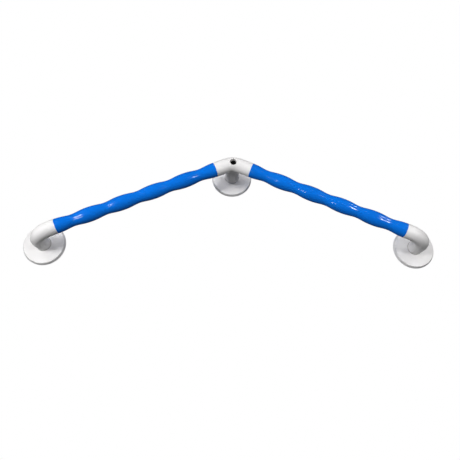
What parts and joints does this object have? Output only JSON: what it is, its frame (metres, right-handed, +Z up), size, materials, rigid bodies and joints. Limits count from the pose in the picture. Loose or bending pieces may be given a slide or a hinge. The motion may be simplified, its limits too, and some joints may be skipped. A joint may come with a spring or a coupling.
{
  "type": "angled wall grab bar",
  "caption": "V-shaped wall grab bar with wavy grips, white end elbows, a middle fitting on a post and round cover roses that slide out to reach the wall screws.",
  "frame": {"origin": "centre of the middle wall pad's back face, on the wall", "axes": "+X along the wall from the left post to the right post, +Y into the wall, +Z up with the rail's apex at the top"},
  "size_m": [0.9244, 0.0885, 0.2619],
  "materials": {
    "grip_plastic": "glossy moulded",
    "fitting_plastic": "satin moulded",
    "rose_plastic": "satin moulded",
    "tube_steel": "drawn",
    "plate_steel": "brushed",
    "screw_steel": "zinc plated",
    "bolt_steel": "black oxide",
    "insert_brass": "turned",
    "ring_rubber": "matt",
    "pad_rubber": "matt"
  },
  "bodies": {
    "rail": {"left_grip_sleeve": "grip_plastic", "left_core_tube": "tube_steel", "left_elbow": "fitting_plastic", "left_tube_screw": "screw_steel", "left_post_insert": "insert_brass", "left_post_screw": "screw_steel", "right_grip_sleeve": "grip_plastic", "right_core_tube": "tube_steel", "right_elbow": "fitting_plastic", "right_tube_screw": "screw_steel", "right_post_insert": "insert_brass", "right_post_screw": "screw_steel", "centre_fitting": "fitting_plastic", "centre_tube_screws": "screw_steel", "centre_plate_nut": "screw_steel", "centre_bolt": "bolt_steel", "centre_bolt_washer": "screw_steel", "left_plate": "plate_steel", "left_wall_pad": "pad_rubber", "centre_plate": "plate_steel", "centre_wall_pad": "pad_rubber", "right_plate": "plate_steel", "right_wall_pad": "pad_rubber"},
    "left_ring_body": {"left_grip_ring": "ring_rubber"},
    "left_rose_body": {"left_rose": "rose_plastic"},
    "centre_ring_body": {"centre_grip_ring": "ring_rubber"},
    "centre_rose_body": {"centre_rose": "rose_plastic"},
    "right_ring_body": {"right_grip_ring": "ring_rubber"},
    "right_rose_body": {"right_rose": "rose_plastic"}
  },
  "joints": [
    {"name": "left_rose_slide", "type": "slide", "parent": "rail", "child": "left_ring_body", "axis": [0, -1, 0], "range_m": [0, 0.022]},
    {"name": "left_rose_turn", "type": "hinge", "parent": "left_ring_body", "child": "left_rose_body", "pos_m": [-0.41575, 0, -0.16891], "axis": [0, -1, 0], "continuous": true},
    {"name": "centre_rose_slide", "type": "slide", "parent": "rail", "child": "centre_ring_body", "axis": [0, -1, 0], "range_m": [0, 0.044]},
    {"name": "centre_rose_turn", "type": "hinge", "parent": "centre_ring_body", "child": "centre_rose_body", "pos_m": [0, 0, 0], "axis": [0, -1, 0], "continuous": true},
    {"name": "right_rose_slide", "type": "slide", "parent": "rail", "child": "right_ring_body", "axis": [0, -1, 0], "range_m": [0, 0.022]},
    {"name": "right_rose_turn", "type": "hinge", "parent": "right_ring_body", "child": "right_rose_body", "pos_m": [0.41575, 0, -0.16891], "axis": [0, -1, 0], "continuous": true}
  ]
}
